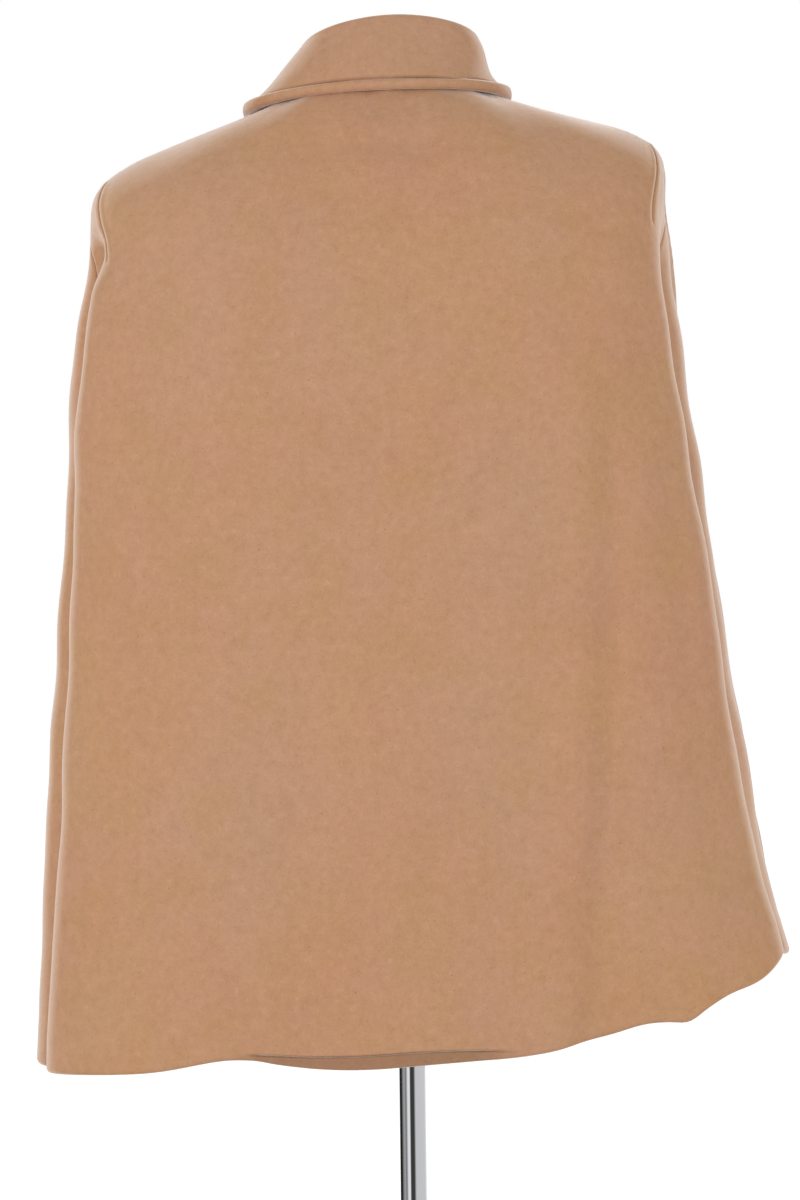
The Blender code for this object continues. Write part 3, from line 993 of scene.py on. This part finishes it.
# %% Collar
COLLAR_RINGS = (
    Ring("neck_seam", 0.0735, 0.0735, 0.0620, 0.0760, 1.4065, 1.4055, 1.4140, 1.3555, 2.2, 0),
    Ring("stand", 0.0690, 0.0690, 0.0580, 0.0760, 1.4220, 1.4230, 1.4360, 1.3680, 2.2, 0),
    Ring("fold_inside", 0.0650, 0.0650, 0.0560, 0.0770, 1.4325, 1.4370, 1.4520, 1.3780, 2.2, 0),
    Ring("fold_top", 0.0735, 0.0710, 0.0625, 0.0830, 1.4425, 1.4430, 1.4580, 1.3815, 2.7, 0),
    Ring("fold_outside", 0.0800, 0.0770, 0.0695, 0.0890, 1.4355, 1.4365, 1.4520, 1.3780, 2.5, 0),
    Ring("fall", 0.0925, 0.0950, 0.0800, 0.1050, 1.4110, 1.4140, 1.4260, 1.3480, 2.3, 0),
    Ring("leaf_edge", 0.1165, 0.1145, 0.0895, 0.1235, 1.3950, 1.4005, 1.3925, 1.3050, 2.3, 0),
)
COLLAR_CLOTH = 0.0055
COLLAR_SHIFT = 0.014
COLLAR_RISE = 0.040
OPENING_NECK = 3
OPENING_EDGE = 17
RIM_PLUMP = 0.0021
SIDE_PLUMP = 0.7
COLLAR_STITCH_SINK = 0.0034
COLLAR_GROOVE = 0.0007
STITCH_SHADE = 0.55
END_RIM_FROM = 0.45
RIM_ROW = -8
REST_SAMPLES = 90
REST_REACH = 0.3
REST_FROM = 0.72
COLLAR_LINES = 222
collar_rim = np.array([0, 0.0001, 0.0004, 0.0009, 0.0016, 0.0025, 0.0036, 0.0048, 0.0060, 0.0070,
                       0.0078, 0.0084, 0.0090, 0.0096, 0.0102, 0.0112, 0.0125])
COLLAR_FALL = 0.105
down_collar = np.concatenate([
    RIM_STEPS / COLLAR_FALL,
    spaced((0.075, 0.20, 5), (0.20, 0.75, 28), (0.75, 0.87, 6)),
    1 - collar_rim[::-1] / COLLAR_FALL,
])


def collar_points(down, angle):
    points, _ = ring_points(rows_at(COLLAR_RINGS, down), angle)
    seam, _ = ring_points(rows_at(COLLAR_RINGS, np.zeros_like(down)), angle)
    points[:, 0] -= COLLAR_SHIFT * smooth((points[:, 2] - seam[:, 2]) / COLLAR_RISE)
    return points


def collar_lines():
    """The angle of every point of the collar's grid, rim steps first at both ends."""
    opening = OPENING_NECK + (OPENING_EDGE - OPENING_NECK) * down_collar
    inner = np.linspace(0, 1, COLLAR_LINES)[1:-1]
    return lines_between(collar_points, down_collar, opening - 90, 270 - opening, collar_rim, inner)


def plump_at(angle):
    """How far the rim swells: more at the wearer's two sides."""
    return RIM_PLUMP * (1 + SIDE_PLUMP * np.cos(np.radians(angle)) ** 6)


def rested(patch, angles):
    """Collar points with the leaf's rim laid on the cape."""
    points = patch.points.reshape(*angles.shape, 3)
    rim = (points - patch.out.reshape(*angles.shape, 3) * COLLAR_CLOTH / 2)[RIM_ROW]
    reach = np.linspace(0, REST_REACH, REST_SAMPLES)
    down = np.tile(reach, len(rim))
    below = patch_of(cape_points, down, np.repeat(angles[RIM_ROW], REST_SAMPLES))
    cloth = below.points.reshape(len(rim), REST_SAMPLES, 3)
    nearest = np.argmin(length(cloth - rim[:, None]), axis=1)
    each = np.arange(len(rim))
    out = below.out.reshape(cloth.shape)[each, nearest]
    height = np.sum((rim - cloth[each, nearest]) * out, axis=1)
    lifted = COLLAR_CLOTH / 2 + plump_at(angles[RIM_ROW]) + 3 * PIECE_GAP
    move = out * (lifted - height)[:, None]
    share = smooth((down_collar - REST_FROM) / (1 - REST_FROM))
    return (points + share[:, None, None] * move).reshape(-1, 3)


collar_angles = collar_lines()
collar_downs = np.repeat(down_collar[:, None], collar_angles.shape[1], axis=1)
collar_patch = patch_of(collar_points, collar_downs.ravel(), collar_angles.ravel())
collar_base = leaned(rested(collar_patch, collar_angles)).reshape(*collar_angles.shape, 3)
_, to_leaf = runs(collar_base, 0)
to_end = np.minimum(*runs(collar_base, 1))
to_rim = np.minimum(to_leaf, np.where(collar_downs > END_RIM_FROM, to_end, 1))
puff = plump_at(collar_angles) * np.sin(pi * np.clip(to_rim / STITCH_IN, 0, 1)) ** 0.7
groove = COLLAR_STITCH_SINK * bell(to_rim - STITCH_IN, COLLAR_GROOVE)
# Painted shade along the stitch groove: the collar's base colour is darkened there.
groove_shade = STITCH_SHADE * bell(to_rim - STITCH_IN, COLLAR_GROOVE)
collar = skin("collar_leaf", collar_base, COLLAR_CLOTH, wool, puff - groove, groove_shade)
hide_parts("collar")
print("collar", len(collar.data.polygons), "faces")

# %% [markdown]
# ## Stitches
#
# The edge stitching is camel thread sunk in its groove, coloured much darker than the wool: partly
# thread colour, partly painted shade for the groove. Each stitch is one small lozenge; a row of
# them is one mesh, because hundreds of objects would be slow and a single long tube would not
# look sewn. A row follows the panel's own grid line at the stitching's distance.

# %% Stitches
STITCH_LENGTH = 0.0034
STITCH_EVERY = 0.0044
STITCH_RADIUS = 0.00042
STITCH_PROUD = 0.0001
LEAF_COLUMNS = slice(20, -20)
LAP_ROWS = slice(10, 140)


def make_thread():
    thread = Finish("camel_thread")
    twist = thread.noise(thread.place(), 2400, 2)
    # Darker than the wool: part thread colour, part painted shade for the groove it lies in.
    thread.surface({
        "Base Color": thread.blend(twist, colour(92, 62, 42), colour(118, 84, 58)),
        "Roughness": 0.7,
    })
    thread.raised(twist, 0.0002)
    return thread


def line_at(points, axis, distance):
    """The line across a grid that stays one distance from the end of its rows or columns."""
    _, left = runs(points, axis)
    grid = np.moveaxis(points, axis, 1)
    left = np.moveaxis(left, axis, 1)
    out = unit(np.cross(np.gradient(points, axis=0), np.gradient(points, axis=1)))
    both = np.concatenate([grid, np.moveaxis(out, axis, 1)], axis=2)
    return np.array([
        [np.interp(-distance, -gone, column) for column in row.T] for gone, row in zip(left, both)
    ])


def stitch_row(name, line, sink, finish):
    """Stitches laid along a line of surface points, each turned to the line and the cloth."""
    points, out = line[:, :3], unit(line[:, 3:])
    points = points - out * sink
    along = np.append(0, np.cumsum(length(np.diff(points, axis=0))))
    bm = bmesh.new()
    for place in np.arange(STITCH_EVERY, along[-1] - STITCH_EVERY, STITCH_EVERY):
        centre, ahead, up = (
            np.array([np.interp(where, along, values[:, k]) for k in range(3)])
            for where, values in ((place, points), (place + 0.001, points), (place, out))
        )
        run = unit(ahead - centre)
        side = unit(np.cross(up, run))
        turned = Matrix(np.column_stack([run, side, np.cross(run, side)]).tolist()).to_4x4()
        sized = Matrix.Diagonal((STITCH_LENGTH / 2, STITCH_RADIUS, STITCH_RADIUS, 1))
        where = Matrix.Translation(centre.tolist()) @ turned @ sized
        bmesh.ops.create_icosphere(bm, subdivisions=1, radius=1, matrix=where)
    mesh = bpy.data.meshes.new(name)
    bm.to_mesh(mesh)
    bm.free()
    return add_object(name, mesh, finish)


thread = make_thread()
leaf_line = line_at(collar_base, 0, STITCH_IN)[LEAF_COLUMNS]
leaf_sink = COLLAR_STITCH_SINK - 2.4 * STITCH_RADIUS
collar_stitches = stitch_row("collar_stitches", leaf_line, leaf_sink, thread)
lap_line = line_at(right_points, 1, STITCH_IN)[LAP_ROWS]
front_stitches = stitch_row("front_stitches", lap_line, -STITCH_PROUD, thread)
print("stitch rows", len(collar_stitches.data.polygons), len(front_stitches.data.polygons), "faces")

# %% [markdown]
# ## The dress form
#
# Inside the cape is a plain torso with no limbs, covered in pale jersey. Sections up the body give
# its width and depth; a smooth surface through them is closed at both ends.

# %% Torso
Section = namedtuple("Section", "name z half back front square")
TORSO_SECTIONS = (
    Section("hip_bottom", 0.800, 0.150, 0.100, 0.090, 2.2),
    Section("hip", 0.900, 0.172, 0.116, 0.104, 2.2),
    Section("waist", 1.030, 0.132, 0.088, 0.092, 2.1),
    Section("chest", 1.170, 0.158, 0.108, 0.132, 2.2),
    Section("underarm", 1.240, 0.176, 0.114, 0.122, 2.4),
    Section("shoulder_end", 1.292, 0.190, 0.104, 0.098, 2.5),
    Section("shoulder", 1.330, 0.165, 0.084, 0.078, 2.4),
    Section("neck_root", 1.362, 0.094, 0.064, 0.060, 2.1),
    Section("neck", 1.392, 0.056, 0.048, 0.048, 2.0),
    Section("neck_top", 1.425, 0.052, 0.046, 0.046, 2.0),
)
TORSO_ROWS = 90
TORSO_SIDES = 96


def make_jersey():
    jersey = Finish("form_jersey")
    where = jersey.place()
    knit = jersey.noise(jersey.stretched(where, (900, 900, 450)), 1, 2)
    soft = jersey.noise(where, 30, 3)
    tone = soft * 0.6 + knit * 0.4
    jersey.surface({
        "Base Color": jersey.blend(tone, colour(222, 216, 204), colour(236, 231, 221)),
        "Roughness": 0.9,
        "Sheen Weight": 0.15,
    })
    jersey.raised(knit, 0.0004)
    return jersey


def make_torso(finish):
    """A round body, its latitudes spread evenly up the sections and each end closed flat."""
    bm = bmesh.new()
    bmesh.ops.create_uvsphere(bm, u_segments=TORSO_SIDES, v_segments=TORSO_ROWS + 2, radius=1)
    sphere = np.array([vert.co for vert in bm.verts])
    level = (pi - np.arccos(np.clip(sphere[:, 2], -1, 1))) / pi * (TORSO_ROWS + 2) - 1
    section = rows_at(TORSO_SECTIONS, level / TORSO_ROWS)
    flat = length(sphere[:, :2])
    heading = sphere[:, :2] / np.maximum(flat, 1e-6)[:, None]
    square = section["square"]
    scale = (abs(heading[:, 0]) ** square + abs(heading[:, 1]) ** square) ** (-1 / square)
    scale = np.where((level < -0.5) | (level > TORSO_ROWS + 0.5), 0, scale)
    deep = np.where(heading[:, 1] > 0, section["back"], section["front"])
    across = section["half"] * scale * heading[:, 0]
    points = np.stack([across, deep * scale * heading[:, 1], section["z"]], 1)
    for vert, point in zip(bm.verts, leaned(points)):
        vert.co = point
    mesh = bpy.data.meshes.new("torso_cover")
    bm.to_mesh(mesh)
    bm.free()
    torso = add_object("torso_cover", mesh, finish)
    mesh.set_sharp_from_angle(angle=radians(40))
    return torso


torso = make_torso(make_jersey())
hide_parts("form_torso")
print("torso", len(torso.data.polygons), "faces")

# %% [markdown]
# ## The stand
#
# Neck cap, socket, pole, hub and base plate are all turned on a lathe, so each is a profile spun
# about its own axis. Chrome on the pole and hub, satin steel elsewhere. The metals differ mostly in
# how their fine scratches lie.

# %% Metals
def make_chrome():
    chrome = Finish("pole_chrome")
    smear = chrome.noise(chrome.stretched(chrome.place(), (40, 40, 6)), 1, 3)
    chrome.surface({
        "Base Color": chrome.blend(smear, colour(228, 229, 232), colour(238, 238, 239)),
        "Metallic": 1.0,
        "Roughness": smear * 0.05 + 0.03,
    })
    return chrome


def make_steel():
    steel = Finish("satin_steel")
    where = steel.place()
    rings = steel.noise(steel.stretched(where, (12, 12, 900)), 1, 3)
    cloud = steel.noise(where, 14, 3)
    steel.surface({
        "Base Color": steel.blend(cloud, colour(176, 177, 180), colour(200, 200, 202)),
        "Metallic": 1.0,
        "Roughness": rings * 0.12 + 0.26,
    })
    steel.raised(rings, 0.0001)
    return steel


def lathe(name, node, finish, base, profile, tilt=False, sides=128):
    """A solid turned from (radius, height over its base) corners, each corner softened."""
    mesh = bpy.data.meshes.new(name)
    points = [(r, 0, base + z) for r, z in profile]
    mesh.from_pydata(points, [(i, i + 1) for i in range(len(points) - 1)], [])
    item = add_object(name, mesh, finish)
    spin = item.modifiers.new("spin", "SCREW")
    spin.steps = spin.render_steps = sides
    spin.use_merge_vertices = True
    spin.merge_threshold = 0.00005
    soften = item.modifiers.new("soften", "BEVEL")
    soften.limit_method = "ANGLE"
    soften.angle_limit = radians(35)
    soften.width = 0.0008
    soften.segments = 3
    if tilt:
        item.matrix_world = Matrix(LEAN_TURN.tolist())
    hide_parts(node)
    return item


chrome = make_chrome()
steel = make_steel()
print("metals", len(chrome.tree.nodes), len(steel.tree.nodes), "nodes")

# %% [markdown]
# ## Turning the stand
#
# Each profile starts on the axis at the top, runs down the outside and comes back to the axis. The
# neck cap and the socket lean with the torso; the pole, hub and plate stand upright.

# %% Stand
POLE_RADIUS = 0.011
PLATE_RADIUS = 0.190
PLATE_THICK = 0.010
HUB_HEIGHT = 0.045
HUB_RADIUS = 0.030
SOCKET_RADIUS = 0.025
SOCKET_HEIGHT = 0.060
TORSO_BOTTOM = 0.800
TOUCH = 0.0003

socket_top = TORSO_BOTTOM - 0.006
cap_low = TORSO_SECTIONS[-1].z + TOUCH
cap_radius = TORSO_SECTIONS[-1].back
pole_top = socket_top - SOCKET_HEIGHT - 0.0015
pole_low = PLATE_THICK + HUB_HEIGHT + TOUCH
hub_low = PLATE_THICK + TOUCH
hub_top = PLATE_THICK + HUB_HEIGHT
hub_neck = POLE_RADIUS * 1.6
stand = [
    lathe("neck_cap_turned", "neck_cap", steel, cap_low, (
        (0, 0.016), (cap_radius * 0.3, 0.0155), (cap_radius * 0.55, 0.014),
        (cap_radius * 0.75, 0.012), (cap_radius * 0.9, 0.009),
        (cap_radius, 0.004), (cap_radius, 0), (0, 0),
    ), tilt=True),
    lathe("pole_socket_turned", "pole_socket", steel, socket_top, (
        (0, 0), (SOCKET_RADIUS, 0), (SOCKET_RADIUS, -SOCKET_HEIGHT * 0.6),
        (SOCKET_RADIUS * 0.7, -SOCKET_HEIGHT), (0, -SOCKET_HEIGHT),
    ), tilt=True),
    lathe("pole_tube", "pole", chrome, 0, (
        (0, pole_top), (POLE_RADIUS, pole_top), (POLE_RADIUS, pole_low), (0, pole_low),
    )),
    lathe("base_hub_turned", "base_hub", chrome, 0, (
        (0, hub_top), (hub_neck, hub_top), (hub_neck, hub_low + 0.018),
        (HUB_RADIUS, hub_low + 0.006), (HUB_RADIUS, hub_low), (0, hub_low),
    )),
    lathe("base_plate_turned", "base_plate", steel, 0, (
        (0, PLATE_THICK), (PLATE_RADIUS - 0.003, PLATE_THICK), (PLATE_RADIUS, PLATE_THICK - 0.003),
        (PLATE_RADIUS, 0), (0, 0),
    ), sides=192),
]
print("stand pieces", [piece.name for piece in stand])

# %% [markdown]
# ## The cut sizes
#
# Each cloth piece is listed with the size it was cut to. The area is worked out from the sheet
# itself: half its closed surface is the cloth, and the hem's turning is part of the cut. The share
# of its rectangle that it fills is printed.

# %% Cloth sizes
def cloth_area(item):
    """Half the area of a closed sheet."""
    shown = item.evaluated_get(bpy.context.evaluated_depsgraph_get())
    mesh = shown.to_mesh()
    area = sum(face.area for face in mesh.polygons) / 2
    shown.to_mesh_clear()
    return area


CUTS = (
    (back, (0.75, 1.00), ["form_torso"], []),
    (front_left, (0.52, 0.99), ["form_torso"], []),
    (front_right, (0.54, 0.90), ["form_torso"], [front_stitches]),
    (collar, (0.69, 0.13), ["back", "front_left", "front_right"], [collar_stitches]),
)
for piece, cut_size, under, stitches in CUTS:
    area = cloth_area(piece)
    share = min(area / (cut_size[0] * cut_size[1]), 1.0)
    print(piece.name, "area", round(area, 3), "m2, share of its rectangle", round(share, 2))
    round(share * cut_size[0] * cut_size[1], 4)
    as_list(under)
